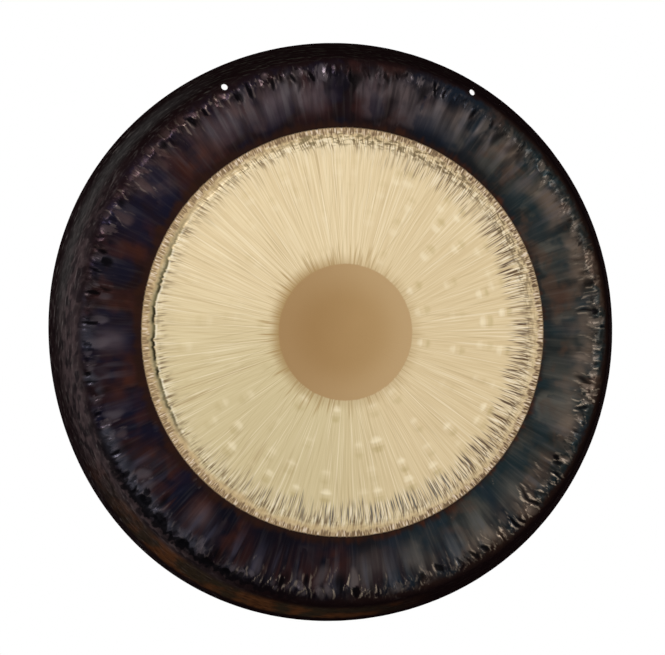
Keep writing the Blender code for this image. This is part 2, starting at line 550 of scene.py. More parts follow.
# %% The waves of the rim
# How many waves, how high in mm, and the angle of a crest
RIM_WAVES = ((2, 0.34, 170), (3, 0.48, 71), (4, 1.03, -142), (5, 0.42, 82))
RIM_EASE = 0.1 * MM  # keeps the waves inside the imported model


def out_of_true(angle, radius):
    """How far the waves push the metal out, at an angle and a radius."""
    share = np.maximum(0, (radius - SHOULDER_RADIUS) / (RIM_RADIUS - SHOULDER_RADIUS))
    waves = sum(
        high * MM * np.cos(count * angle - math.radians(turned))
        for count, high, turned in RIM_WAVES
    )
    return share * (waves - RIM_EASE)


def metal_at(angle, reach, inset):
    """The points of the metal, at a depth of inset below its outer surface."""
    radius, depth, tilt = line_at(reach)
    pressed = pressed_in(angle, reach) + inset
    out = radius + out_of_true(angle, radius) - pressed * np.sin(tilt)
    back = FRONT + depth + pressed * np.cos(tilt)
    return np.stack([out * np.cos(angle), back, out * np.sin(angle)], axis=-1)


# %% [markdown]
# ## Where the mesh is fine and where it is plain
# A surface like this could be a smooth mesh with a displacement modifier, but then the flat
# disc would cost as much as the puckers. Instead, rings are laid out along the line, close
# together where the hammer was busy. The tour of rings goes out over the front, turns round at
# the ground edge and comes back over the inside, so one pass closes the whole sheet.

# %% The tour of rings
DISC_SIDES, FACE_SIDES, WORKED_SIDES, HAMMERED_SIDES = 120, 240, 480, 960


def stations(start, stop, spacing, sides):
    """Rings from start up to, but not at, stop, evenly and about so far apart."""
    steps = max(1, round((stop - start) / spacing))
    return [(start + (stop - start) * step / steps, sides) for step in range(steps)]


RING_START, PUCKER_START, PUCKER_END = 252 * MM, 302 * MM, 336 * MM
outward_tour = (
    stations(16 * MM, DISC_RADIUS, 14 * MM, DISC_SIDES)
    + stations(DISC_RADIUS, 95 * MM, 4 * MM, FACE_SIDES)
    + stations(95 * MM, 226 * MM, 4.2 * MM, WORKED_SIDES)
    + stations(226 * MM, 242 * MM, 1.3 * MM, WORKED_SIDES)
    + stations(242 * MM, RING_START, 3.3 * MM, WORKED_SIDES)
    + stations(RING_START, PUCKER_START, 2.6 * MM, HAMMERED_SIDES)
    + stations(PUCKER_START, PUCKER_END, 1.8 * MM, HAMMERED_SIDES)
    + stations(PUCKER_END, EDGE_START, 1.9 * MM, WORKED_SIDES)
    + stations(EDGE_START, END, 1.5 * MM, WORKED_SIDES)
    + [(END, WORKED_SIDES)]
)
inward_tour = (
    stations(30 * MM, DISC_RADIUS, 18 * MM, DISC_SIDES)
    + stations(DISC_RADIUS, PUCKER_START, 9 * MM, FACE_SIDES)
    + stations(PUCKER_START, PUCKER_END, 3.5 * MM, WORKED_SIDES)
    + stations(PUCKER_END, EDGE_START, 4 * MM, FACE_SIDES)
    + [(EDGE_START, WORKED_SIDES), (END, WORKED_SIDES)]
)[::-1]
tour = [(0.0, 1, 0.0)] + [(reach, sides, 0.0) for reach, sides in outward_tour]
tour += [(reach, sides, SHEET) for reach, sides in inward_tour] + [(0.0, 1, SHEET)]
print(len(tour), "rings,", sum(sides for _, sides, _ in tour), "points")

# %% [markdown]
# ## A map for the colours
# Colours can only be baked into a picture if the sheet is laid out flat. Its face looks forward
# and goes on the map as it is seen. The shoulder and the wall are unrolled into two long strips
# above it, and the inside, which is plainer, into one narrow strip beside it, with the middle
# of the gong at its left. Nothing overlaps.

# %% Places on the map
MAP_MARGIN = 0.004
STRIP_WIDTH = 0.992
STRIP_END = 1.0001  # just past 1, so that the end of a strip isn't its start
FACE_ON_MAP = 0.400  # radius of the face's circle there
FACE_MIDDLE = 0.404
FLAT_REACH = 322 * MM  # as far as this the sheet is mapped as it is seen
STRIP_FLOORS = (0.815, 0.908)
STRIP_HEIGHT = 0.086
INSIDE_LEFT, INSIDE_WIDTH, INSIDE_HEIGHT = 0.815, 0.178, 0.802


def map_point(island, reach, turn, second_half):
    """The place on the map of points at a reach and a share of the turn."""
    if island == "face":
        scale = FACE_ON_MAP / FLAT_REACH * reach
        return FACE_MIDDLE + scale * np.cos(TURN * turn), FACE_MIDDLE + scale * np.sin(TURN * turn)
    if island == "wall":
        share = (reach - FLAT_REACH) / (END + SHEET - FLAT_REACH)
        floor = np.where(second_half, STRIP_FLOORS[1], STRIP_FLOORS[0])
        along = np.mod(turn * 2 - second_half, STRIP_END)
        return MAP_MARGIN + STRIP_WIDTH * along, floor + share * STRIP_HEIGHT
    return INSIDE_LEFT + INSIDE_WIDTH * reach / END, MAP_MARGIN + INSIDE_HEIGHT * turn


# %% [markdown]
# ## Stitching the rings
# Two rings with the same number of points are joined by four-sided faces. Where a ring has
# twice as many points as its neighbour, three triangles fill each gap, so the mesh stays
# closed. The middle of the disc is a ring of one point. Each corner of a face remembers its
# share of the turn, because the last face of a ring ends at 1 and not back at 0.

# %% Corners between two rings
def stitch(near, far):
    """Each corner is which of the two rings it is on, its side there, and that side uncut."""
    if near == 1:
        side = np.arange(far)
        return [[(0, side + 0.5), (1, side), (1, side + 1)]]
    if far == 1:
        side = np.arange(near)
        return [[(0, side), (1, side + 0.5), (0, side + 1)]]
    side = np.arange(min(near, far))
    if near == far:
        return [[(0, side), (1, side), (1, side + 1), (0, side + 1)]]
    few, many = (0, 1) if near < far else (1, 0)
    fans = [
        [(few, side), (many, 2 * side), (many, 2 * side + 1)],
        [(few, side), (many, 2 * side + 1), (few, side + 1)],
        [(few, side + 1), (many, 2 * side + 1), (many, 2 * side + 2)],
    ]
    return fans if near < far else [fan[::-1] for fan in fans]


# %% [markdown]
# ## Building the mesh
# Points come first, all in one array, then the faces ring by ring. Each face also gets its
# metal, which is front, inside or edge, and its corners on the map. The marks go on the outer
# points alone, because only the front finish reads them.

# %% Build the mesh
METALS = ("hammered_bronze_front", "fire_dull_inside", "ground_bronze_edge")
FRONT_METAL, INSIDE_METAL, EDGE_METAL = 0, 1, 2
HALF_TURN = 0.4999  # just under a half, so that rounding can't move a face to the wrong strip
counts = np.array([sides for _, sides, _ in tour])
firsts = np.cumsum(counts) - counts
reaches = np.concatenate([np.full(sides, reach) for reach, sides, _ in tour])
insets = np.concatenate([np.full(sides, inset) for _, sides, inset in tour])
angles = np.concatenate([TURN * np.arange(sides) / sides for _, sides, _ in tour])
points = metal_at(angles, reaches, insets)

faces, face_metals, map_places = [], [], []
for ring, pair in enumerate(zip(tour, tour[1:])):
    from_inside, to_inside = pair[0][2] > 0, pair[1][2] > 0
    flat = pair[1][0] <= FLAT_REACH and not to_inside
    island = "inside" if from_inside else "face" if flat else "wall"
    metal = INSIDE_METAL if from_inside else EDGE_METAL if to_inside else FRONT_METAL
    for corners in stitch(pair[0][1], pair[1][1]):
        shares, owners = [], []
        for which, side in corners:
            sides = pair[which][1]
            whole = sides if sides > 1 else pair[1 - which][1]
            shares.append(side / whole)
            owners.append(firsts[ring + which] + (np.floor(side).astype(int) % sides))
        second_half = (np.min(shares, axis=0) > HALF_TURN).astype(float)
        places = []
        for (which, _), share in zip(corners, shares):
            along = END + SHEET if metal == EDGE_METAL and which == 1 else pair[which][0]
            u, v = map_point(island, along, share, second_half)
            places.append(np.stack([u + 0 * share, v + 0 * share], axis=-1))
        faces += np.stack(owners, axis=1).tolist()
        face_metals += [metal] * len(owners[0])
        map_places.append(np.stack(places, axis=1).reshape(-1, 2))
map_places = np.concatenate(map_places)

sheet = bpy.data.meshes.new("hammered_sheet")
sheet.from_pydata(points.tolist(), [], faces)
sheet.uv_layers.new(name="OFBake").uv.foreach_set("vector", map_places.ravel())
for name in METALS:
    sheet.materials.append(bpy.data.materials.new(name))
sheet.polygons.foreach_set("material_index", face_metals)
outer = insets == 0
for mark, values in marks_at(angles[outer], reaches[outer]).items():
    stored = np.zeros(len(angles))
    stored[outer] = values
    sheet.attributes.new(mark, "FLOAT", "POINT").data.foreach_set("value", stored)
gong = bpy.data.objects.new("hammered_gong", sheet)
bpy.context.scene.collection.objects.link(gong)
farthest = float(np.hypot(points[:, 0], points[:, 2]).max())
print(len(faces), "faces, and the farthest point is", round(farthest / MM, 2), "mm out")

# %% [markdown]
# ## Two hanging holes
# The holes were drilled by hand after the hammering, straight along the axis, so one lies a
# little further out than the other. A Boolean cut makes them the same way. The cut is applied
# at once, because everything after this works on the final mesh.

# %% Drill the holes
HOLE_RADIUS = 3.75 * MM
HOLE_TURN = math.radians(27.7)  # of each hole from the top
HOLE_INSETS = ((-1, 25.3 * MM), (1, 20.4 * MM))  # side, and distance in from the rim
HOLE_SIDES = 32
DRILL_CLEARANCE = 10 * MM  # the drill starts and ends this far clear of the sheet
HOLE_MAP_LEFT, HOLE_MAP_FLOOR = 0.01, 0.012
HOLE_MAP_WIDTH, HOLE_MAP_HEIGHT, HOLE_MAP_STEP = 0.04, 0.02, 0.03
drill_points, drill_faces, drill_map = [], [], []
hole_middles = []
for which, (side, inset) in enumerate(HOLE_INSETS):
    reach = RIM_RADIUS - inset
    middle = Vector((side * reach * math.sin(HOLE_TURN), 0, reach * math.cos(HOLE_TURN)))
    hole_middles.append(middle)
    first = len(drill_points)
    for back in (FRONT - DRILL_CLEARANCE, FRONT + DEPTH + DRILL_CLEARANCE):
        for step in range(HOLE_SIDES):
            around = TURN * step / HOLE_SIDES
            offset = Vector((HOLE_RADIUS * math.cos(around), back, HOLE_RADIUS * math.sin(around)))
            drill_points.append(middle + offset)
    front_cap = [first + step for step in range(HOLE_SIDES)]
    rear_cap = [first + HOLE_SIDES + step for step in range(HOLE_SIDES)]
    drill_faces += [front_cap, rear_cap[::-1]]
    drill_map += [(HOLE_MAP_LEFT, HOLE_MAP_LEFT)] * (2 * HOLE_SIDES)
    low = HOLE_MAP_FLOOR + HOLE_MAP_STEP * which
    high = low + HOLE_MAP_HEIGHT
    for step in range(HOLE_SIDES):
        after = (step + 1) % HOLE_SIDES
        drill_faces.append((front_cap[step], rear_cap[step], rear_cap[after], front_cap[after]))
        near_side = HOLE_MAP_LEFT + HOLE_MAP_WIDTH * step / HOLE_SIDES
        far_side = HOLE_MAP_LEFT + HOLE_MAP_WIDTH * (step + 1) / HOLE_SIDES
        drill_map += [(near_side, low), (near_side, high), (far_side, high), (far_side, low)]
drill_mesh = bpy.data.meshes.new("drill")
drill_mesh.from_pydata(drill_points, [], drill_faces)
drill_mesh.uv_layers.new(name="OFBake").uv.foreach_set("vector", np.ravel(drill_map))
for name in METALS:
    drill_mesh.materials.append(bpy.data.materials[name])
drill_mesh.polygons.foreach_set("material_index", [EDGE_METAL] * len(drill_faces))
drill = bpy.data.objects.new("drill", drill_mesh)
drill.hide_render = True
bpy.context.scene.collection.objects.link(drill)
cut = gong.modifiers.new("hanging_holes", "BOOLEAN")
cut.operation = "DIFFERENCE"
cut.solver = "EXACT"
cut.object = drill
seen = bpy.context.evaluated_depsgraph_get()
drilled = bpy.data.meshes.new_from_object(gong.evaluated_get(seen))
gong.modifiers.clear()
gong.data = drilled
bpy.data.objects.remove(drill, do_unlink=True)
drilled.shade_smooth()
drilled.set_sharp_from_angle(angle=math.radians(60))
triangles = sum(len(face.vertices) - 2 for face in drilled.polygons)
print("two holes of", 2 * HOLE_RADIUS / MM, "mm, and", triangles, "triangles in all")


# %% [markdown]
# ## Shader sums that read like sums
# The finish is worked out from where a point of the metal is: how far from the axis, at which
# angle and how far back. That takes a lot of arithmetic, and as boxes and wires it would be
# unreadable. So one small class stands for the output of a node, and adding two of them makes
# the Math node.

# %% The output of a node
class Signal:
    """The output of a node, with sums written as sums."""

    def __init__(self, nodes, socket):
        self.nodes = nodes
        self.socket = socket

    def __add__(self, other):
        return self.nodes.sum("ADD", self, other)

    def __sub__(self, other):
        return self.nodes.sum("SUBTRACT", self, other)

    def __rsub__(self, other):
        return self.nodes.sum("SUBTRACT", other, self)

    def __mul__(self, other):
        return self.nodes.sum("MULTIPLY", self, other)

    def __truediv__(self, other):
        return self.nodes.sum("DIVIDE", self, other)

    __radd__ = __add__
    __rmul__ = __mul__

    def rise(self, start, stop):
        """0 before start and 1 after stop, with a soft turn at both."""
        values = {"Value": self, "From Min": start, "From Max": stop}
        return self.nodes.node("ShaderNodeMapRange", {"interpolation_type": "SMOOTHSTEP"}, values)

    def hill(self, start, top, stop):
        """Up from 0 at start to 1 at top and down again to 0 at stop."""
        return self.rise(start, top) * (1 - self.rise(top, stop))


# %% [markdown]
# Every node, in a material or in the world, is made by one method. It takes the kind of node,
# its settings and the values or links of its sockets. Colours go through Mix nodes, because a
# Math node would turn them grey, and a finish is painted the way a maker thinks of it: one coat
# over another, each as strong as its share.

# %% Trees of nodes and finishes
class Nodes:
    """A tree of nodes, and the one way in which its nodes are made."""

    def __init__(self, tree):
        self.tree = tree

    def node(self, kind, settings, inputs, output=0):
        made = self.tree.nodes.new(kind)
        for setting, value in settings.items():
            setattr(made, setting, value)
        self.connect(made, inputs)
        return Signal(self, made.outputs[output])

    def connect(self, made, inputs):
        for name, value in inputs.items():
            if isinstance(value, Signal):
                self.tree.links.new(value.socket, made.inputs[name])
            else:
                made.inputs[name].default_value = value

    def sum(self, operation, *values):
        return self.node("ShaderNodeMath", {"operation": operation}, dict(enumerate(values)))

    def blend(self, colour, over, share):
        """One colour laid over another."""
        settings = {"data_type": "RGBA", "clamp_factor": True}
        return self.node("ShaderNodeMix", settings, {0: share, 6: colour, 7: over}, 2)

    def coats(self, colour, *layers):
        """Coats laid over a colour one after another, each a colour and its share."""
        for over, share in layers:
            colour = self.blend(colour, over, share)
        return colour

    def join(self, x, y, z):
        return self.node("ShaderNodeCombineXYZ", {}, {0: x, 1: y, 2: z})

    def noise(self, place, detail=1.0):
        values = {"Vector": place, "Scale": 1.0, "Detail": detail, "Roughness": 0.5}
        return self.node("ShaderNodeTexNoise", {}, values)


class Finish(Nodes):
    """A material, found or made by its name, with what is the same all over it set at once."""

    def __init__(self, name, constants):
        self.material = bpy.data.materials.get(name) or bpy.data.materials.new(name)
        self.material.use_nodes = True
        super().__init__(self.material.node_tree)
        self.shader = self.tree.nodes["Principled BSDF"]
        self.connect(self.shader, constants)


# %% [markdown]
# ## Finding the place on the metal
# Everything on a gong goes round or runs out from the middle, so the finish needs polar
# coordinates. The angle itself jumps from one turn to zero, which would leave a seam. Its
# cosine and sine don't: noise read on that circle, made larger, gives so many streaks round
# the turn and no seam. A long step in the third direction draws the streaks out. The radius and
# the walk, which is the radius and the depth together and grows all the way to the edge, are in
# millimetres.

# %% Polar places for a finish
class MetalFinish(Finish):
    """A finish that knows where on the gong it is, in millimetres."""

    def __init__(self, name, constants):
        super().__init__(name, constants)
        self.place = self.node("ShaderNodeTexCoord", {}, {}, "Object")
        x, y, z = (self.node("ShaderNodeSeparateXYZ", {}, {0: self.place}, axis) for axis in range(3))
        self.x, self.z = x, z
        distance = self.sum("SQRT", x * x + z * z)
        self.radius = distance / MM
        self.east = x / distance
        self.up = z / distance
        self.walk = self.radius + (y - FRONT) / MM

    def streaks(self, count, length, shift, detail=1.0, drawn_from=(0, 0)):
        """Noise in so many streaks round the turn, about so many millimetres long.

        The streaks run out from the middle, or from a point so many millimetres right of it and
        above it."""
        east, up = self.east, self.up
        if drawn_from != (0, 0):
            right_of = self.x - drawn_from[0] * MM
            above = self.z - drawn_from[1] * MM
            distance = self.sum("SQRT", right_of * right_of + above * above)
            east, up = right_of / distance, above / distance
        wide = count / TURN
        return self.noise(self.join(east * wide + shift, up * wide, self.walk / length), detail)

    def patches(self, size, shift, detail=1.0):
        """Round patches of about so many millimetres."""
        bigger = {0: self.place, "Scale": 1 / (size * MM)}
        place = self.node("ShaderNodeVectorMath", {"operation": "SCALE"}, bigger)
        further = {0: place, 1: (shift, shift, shift)}
        moved = self.node("ShaderNodeVectorMath", {"operation": "ADD"}, further)
        return self.noise(moved, detail)

    def facing(self, degrees):
        """1 on the side of the gong at that angle, 0 on the far side, and a half between."""
        angle = math.radians(degrees)
        return (self.east * math.cos(angle) + self.up * math.sin(angle)) * 0.5 + 0.5

    def near(self, degrees, spread):
        """1 at that angle, falling softly to 0 at so many degrees from it."""
        least = (1 + math.cos(math.radians(spread))) / 2
        return self.facing(degrees).rise(least, 1.0)

    def mark(self, name):
        """What the hammer left at each point of the mesh under that name."""
        return self.node("ShaderNodeAttribute", {"attribute_name": name}, {}, 2)


def tone(red, green, blue):
    """A colour as a paint chip names it, from 0 to 255, made linear for the shader."""
    def linear(value):
        value = value / 255
        return value / 12.92 if value <= 0.04045 else ((value + 0.055) / 1.055) ** 2.4

    return (linear(red), linear(green), linear(blue), 1.0)


# %% [markdown]
# ## The pale ring
# The ring was scraped and brushed outwards from the disc, so it is covered with hair lines. A
# hair is the place where a noise falls below its middle value, which gives thin lines that
# never repeat. Two sets of hairs run out from slightly different middles, so that they cross.
# They are stronger on the left, where the brush was pressed harder. Painted shade makes the ring
# darker and greener towards the lower left.

# %% Brushed bronze
NO_GLOSS = {"IOR": 1.45, "Specular IOR Level": 0.0, "Specular Tint": (0.1, 0.1, 0.1, 1)}
bronze = MetalFinish("hammered_bronze_front", NO_GLOSS)
radius, walk = bronze.radius, bronze.walk
left = bronze.facing(180)
nap = bronze.streaks(620, 70, 17, drawn_from=(6, -9))
hairs = 1 - bronze.streaks(560, 120, 7).rise(0.27, 0.43)
crossing_hairs = 1 - bronze.streaks(520, 100, 9, drawn_from=(-22, 14)).rise(0.27, 0.42)
bright_hairs = bronze.streaks(620, 100, 13).rise(0.56, 0.72)
pressed_brush = bronze.patches(60, 3).rise(0.38, 0.62) * 0.5 + left.rise(0.3, 0.9) * 0.5
pale = bronze.coats(
    tone(211, 190, 151),
    (tone(221, 202, 164), nap.rise(0.35, 0.65)),
    # painted shade: the ring darker and greener towards the lower left
    (tone(190, 177, 136), bronze.facing(-130).rise(0.6, 1.0) * 0.6),
    # darker and browner towards the right
    (tone(190, 166, 124), bronze.facing(-5).rise(0.35, 1.0) * 0.26),
    (tone(164, 138, 96), hairs * (pressed_brush * 0.4 + 0.12)),
    (tone(164, 140, 100), crossing_hairs * (pressed_brush * 0.3 + 0.08)),
    (tone(240, 227, 198), bright_hairs * 0.36),
)
print("the brushed bronze has", len(bronze.tree.nodes), "nodes")

# %% [markdown]
# ## Bosses and flames
# Each boss has a painted highlight on the flank that looks at the disc and painted shade on the
# other, strongest towards the lower right. Close to the disc the strokes stop at different lengths,
# which leaves dark golden flames between them, and the ring is darker next to the disc all round,
# most on the left.

# %% Bosses and flames
slope = bronze.mark("boss_slope")
boss_light_side = bronze.facing(-35).rise(0.1, 0.75) * 0.7 + 0.3
flames = 1 - bronze.streaks(300, 60, 23).rise(0.34, 0.52)
flame_ends = radius - bronze.streaks(210, 200, 29).rise(0.3, 0.7) * 20
flame_share = (1 - flame_ends.rise(80, 96)) * flames * (left * 0.35 + 0.35)
near_disc = (1 - radius.rise(80, 100)) * (bronze.near(165, 100) * 0.6 + 0.3)
pale = bronze.coats(
    pale,
    # painted highlight and painted shade on the two flanks of each boss
    (tone(240, 227, 196), slope.rise(0.05, 0.8) * 0.6 * boss_light_side),
    (tone(170, 150, 98), (slope * -1).rise(0.05, 0.8) * 0.5 * boss_light_side),
    (tone(158, 128, 80), flame_share),
    (tone(158, 128, 82), near_disc),
)
print("and with bosses and flames", len(bronze.tree.nodes))

# %% [markdown]
# ## The fringe
# Where the scraper was lifted, near the outer edge of the ring, it left bundles of short dark
# and light dashes, dense on the right and loose on the left. Both ends of the fringe are ragged,
# because every dash starts at its own radius.

# %% Dashes
dashes = bronze.streaks(930, 34, 21)
slanted_dashes = bronze.streaks(880, 20, 27, drawn_from=(45, 30))
bunch = bronze.streaks(44, 90, 31).rise(0.3, 0.5) * 0.6 + 0.4
thick = bronze.facing(-28).rise(0.22, 0.72) * 0.88 + 0.12
ragged = (bronze.streaks(620, 300, 37) - 0.5) * 30 + (bronze.streaks(70, 300, 38) - 0.5) * 22
dash_place = radius + ragged
fringe = dash_place.rise(203, 216) * (1 - dash_place.rise(228, 241)) * bunch * thick
loose = radius.hill(214, 232, 247) * (bronze.streaks(50, 60, 33).rise(0.3, 0.5) * 0.7 + 0.3)
dash_brown = bronze.blend(tone(84, 64, 52), tone(98, 94, 88), bronze.near(-80, 50))
pale = bronze.coats(
    pale,
    (tone(170, 146, 112), fringe * 0.2),
    (dash_brown, (1 - dashes.rise(0.38, 0.50)) * fringe * 0.95),
    (tone(240, 229, 206), dashes.rise(0.54, 0.66) * fringe * 0.6),
    (tone(98, 74, 52), (1 - slanted_dashes.rise(0.37, 0.48)) * loose * 0.8),
    (tone(238, 226, 200), slanted_dashes.rise(0.56, 0.68) * loose * 0.5),
)
print("and with the dashes", len(bronze.tree.nodes))

# %% [markdown]
# ## The band and its rim
# A tan band frames the ring. At the top the scraper slipped sideways and scratched it in wavy
# olive lines that run round the turn. The rim of the band is hatched with tiny ticks.

# %% Band, scratches and hatching
band_place = radius + (bronze.streaks(90, 400, 41) - 0.5) * 12
wavy = bronze.streaks(170, 3.4, 43, 2.0)
scratched = radius.rise(222, 232) * (1 - radius.rise(242, 246)) * (bronze.near(70, 80) * 0.8 + 0.2)
olive = bronze.blend(tone(122, 108, 78), tone(104, 88, 66), bronze.facing(0).rise(0.4, 0.9))
hatching = bronze.streaks(940, 12, 51)
hatched = (radius + (bronze.streaks(420, 400, 53) - 0.5) * 12).rise(240.0, 243.5)
pale = bronze.coats(
    pale,
    (tone(190, 164, 122), band_place.rise(232, 240) * (left * 0.6 + 0.35)),
    (olive, (1 - wavy.rise(0.40, 0.50)) * scratched * bunch * 0.9),
    (tone(104, 88, 62), (1 - slanted_dashes.rise(0.42, 0.54)) * scratched * 0.45),
    (tone(236, 224, 196), wavy.rise(0.56, 0.66) * scratched * 0.5),
    (tone(150, 122, 94), hatched * (0.55 - bronze.near(178, 50) * 0.2)),
    (tone(78, 58, 44), (1 - hatching.rise(0.42, 0.54)) * hatched * (0.85 - left * 0.35)),
    (tone(232, 216, 196), hatching.rise(0.56, 0.66) * hatched * 0.6),
)
print("and with the band", len(bronze.tree.nodes))

# %% [markdown]
# ## The crease
# On the left the crease cuts in between the plate and the band. Its hollow is a wide olive band of
# painted shadow with a darker painted shadow line along its inner side, near black in places in
# the deepest part, and the lip of the plate has a painted highlight that is broken here and there.
# The mesh says how far past the crease a point lies, so the colours follow its scallops.

# %% Crease
past_crease = bronze.mark("past_crease")
crease_side = bronze.near(178, 42)
lip_breaks = bronze.streaks(240, 400, 57).rise(0.36, 0.56)
hollow = past_crease + (lip_breaks - 0.5) * 1.6
lip_highlight = past_crease.hill(-5, -1.6, 0.3) * crease_side * (lip_breaks * 0.6 + 0.15)
inner_shadow_line = hollow.hill(-1.4, 0.9, 4.4) * crease_side * (lip_breaks * 0.5 + 0.45)
crease_blackest = bronze.near(186, 30) * bronze.streaks(64, 400, 61).rise(0.42, 0.54)
pale = bronze.coats(
    pale,
    # painted highlight on the lip, painted shadow in the hollow and along its inner side, near black
    # in places
    (tone(240, 231, 208), lip_highlight * 0.7),
    (tone(132, 122, 92), hollow.hill(-1.4, 2.4, 8.5) * crease_side * 0.85),
    (tone(84, 78, 52), inner_shadow_line),
    (tone(24, 21, 12), hollow.hill(-1.8, 0.8, 4.2) * crease_blackest * 0.95),
)
print("and with the crease", len(bronze.tree.nodes))

# %% [markdown]
# ## The disc
# The middle was never scraped. It is plain brown, a little lighter on the right and towards its
# edge, and the first dashes of the brush make that edge just uneven.

# %% Plain disc
across = bronze.east * radius
disc_brown = bronze.coats(
    tone(152, 118, 76),
    (tone(173, 141, 97), across.rise(-90, 80)),
    (tone(196, 168, 128), radius.rise(34, 80) * (0.42 - left * 0.25)),
)
face = bronze.blend(disc_brown, pale, (radius + (dashes - 0.5) * 2.5).rise(82.2, 83.6))
print("and with the disc", len(bronze.tree.nodes))

# %% [markdown]
# ## The fire colours
# The ring outside was never brushed and is dark from the fire. Each flute took a colour of its
# own: on the left blue-black, violet-brown or a paler violet-grey, on the right slate,
# olive-grey or a paler grey. A cool and a warm cloud run across the flutes, because heat
# doesn't stop where a hammer blow does, and the lower left is darker.

# %% Flutes
right = bronze.facing(-8).rise(0.42, 0.86)
flute_tone = bronze.mark("flute_tone")
cloud = bronze.patches(36, 11, 3.0)
flute_colour = bronze.coats(
    bronze.blend(tone(21, 20, 32), tone(30, 38, 41), right),
    (bronze.blend(tone(38, 25, 29), tone(50, 51, 48), right), flute_tone.rise(0.05, 0.5)),
    (bronze.blend(tone(66, 54, 57), tone(76, 74, 68), right), flute_tone.rise(0.5, 1.0)),
)
cool_cloud = bronze.blend(tone(22, 20, 32), tone(26, 39, 43), right)
warm_cloud = bronze.blend(tone(50, 28, 26), tone(74, 56, 45), right)
dark = bronze.coats(
    bronze.blend(tone(28, 18, 19), tone(34, 37, 36), right),
    (flute_colour, bronze.mark("flute_depth").rise(0.0, 0.6)),
    (cool_cloud, cloud.rise(0.50, 0.62) * 0.7),
    (warm_cloud, (1 - cloud.rise(0.36, 0.48)) * 0.55),
    (tone(12, 13, 21), bronze.near(-122, 62) * 0.78),
)
print("and with the flutes", len(bronze.tree.nodes))

# %% [markdown]
# ## Rust, blue-black and pale lobes
# The areas that the fire left are read from the mesh. A drifting noise breaks their outlines,
# and a hill over the radius keeps them between the border and the puckers. Last comes a painted
# sheen on the outer part of the ring, strongest at the upper right.

# %% Areas of the fire
drift = bronze.streaks(62, 34, 81, 2.0)
rust_share = drift.rise(0.34, 0.6) * radius.hill(246, 275, 316) * (0.75 - right * 0.4)
blue_share = (1 - drift.rise(0.5, 0.66) * 0.6) * 0.55
pale_share = radius.hill(258, 288, 316) * (drift * 0.8 + 0.1)
painted_sheen = radius.hill(276, 304, 324) * drift.rise(0.38, 0.66) * (bronze.near(22, 130) * 0.5 + 0.04)
dark = bronze.coats(
    dark,
    (tone(64, 34, 24), bronze.mark("rusty") * rust_share),
    (bronze.blend(tone(19, 21, 38), tone(24, 37, 47), right), bronze.mark("blue_black") * blue_share),
    (bronze.blend(tone(84, 72, 76), tone(88, 86, 80), right), bronze.mark("pale") * pale_share),
    # painted sheen
    (bronze.blend(tone(104, 92, 94), tone(112, 94, 80), right), painted_sheen),
)
print("and with the areas of the fire", len(bronze.tree.nodes))

# %% [markdown]
# ## Drapery and grain
# At the top and the bottom the ring looks like hanging cloth: folds that run outwards, about
# 10 mm wide, with painted light and painted shade. They are drawn with one noise, its high values
# painted light and its low ones painted shade. A fine grain in the same direction lies over
# everything.

# %% Drapery and grain
drape = bronze.streaks(150, 90, 87, 2.0)
grain = bronze.streaks(520, 60, 91, 2.0)
south = bronze.facing(-100).rise(0.45, 0.85)
draped = radius.hill(256, 304, 328) * (bronze.near(80, 75) * 0.8 + south + 0.2)
south_painted_light = bronze.blend(tone(58, 57, 70), tone(84, 84, 86), right)
south_painted_shade = bronze.blend(tone(44, 24, 22), tone(18, 20, 26), right)
drape_painted_light = bronze.blend(tone(98, 92, 94), south_painted_light, south)
drape_painted_shade = bronze.blend(tone(13, 12, 15), south_painted_shade, south)
dark = bronze.coats(
    dark,
    # painted light and painted shade of the folds
    (drape_painted_light, drape.rise(0.50, 0.66) * draped * 0.42),
    (drape_painted_shade, (1 - drape.rise(0.36, 0.50)) * draped * 0.6),
    (tone(104, 98, 92), grain.rise(0.5, 0.74) * (right * 0.06 + 0.05)),
    (tone(12, 10, 14), (1 - grain.rise(0.3, 0.48)) * 0.16),
)
print("and with drapery and grain", len(bronze.tree.nodes))

# %% [markdown]
# ## The border
# A plain brown border runs along the pale ring. It is wide on the left and narrow on the right,
# where it has rust in it, and its outer end wanders with the drift.

# %% Border
rust_spots = bronze.streaks(150, 60, 83, 2.0)
border_place = radius - left * 9 - (drift - 0.5) * 14 - (rust_spots - 0.5) * 16
border_rust = rust_spots.rise(0.46, 0.68) * (right * 0.65 + 0.15)
dark = bronze.coats(
    dark,
    (tone(15, 13, 16), (1 - radius.rise(252, 275)) * bronze.near(72, 60) * 0.6),
    (
        bronze.blend(tone(38, 23, 18), tone(66, 35, 21), border_rust),
        (1 - border_place.rise(246, 255)) * 0.85,
    ),
    (tone(20, 13, 11), (1 - radius.rise(248.5, 250.5)) * 0.7),
)
print("and with the border", len(bronze.tree.nodes))

# %% [markdown]
# ## Puckers
# First the metal darkens towards the wall, sooner on the left and later at the upper right, and
# keeps some slate-grey patches at the lower left. A pucker that was struck bright shows pale
# bronze and one that kept its soot is black. The ridges between them get a thin painted highlight,
# warmest on the right, and a crumpled noise breaks all of it up.

# %% Puckers
north_east = bronze.near(42, 105)
north_west = bronze.near(134, 38)
calm_side = bronze.near(35, 55)
crumple = bronze.streaks(330, 12, 121, 2.0)
at_puckers = walk.hill(302, 318, 334)
shade = bronze.blend(tone(22, 12, 13), tone(34, 20, 15), right)
shaded = (walk - north_east * 12 + (drift - 0.5) * 22 + (crumple - 0.5) * 16).rise(318, 334)
slate_patches = bronze.near(210, 44) * walk.hill(302, 320, 338) * drift.rise(0.40, 0.56)

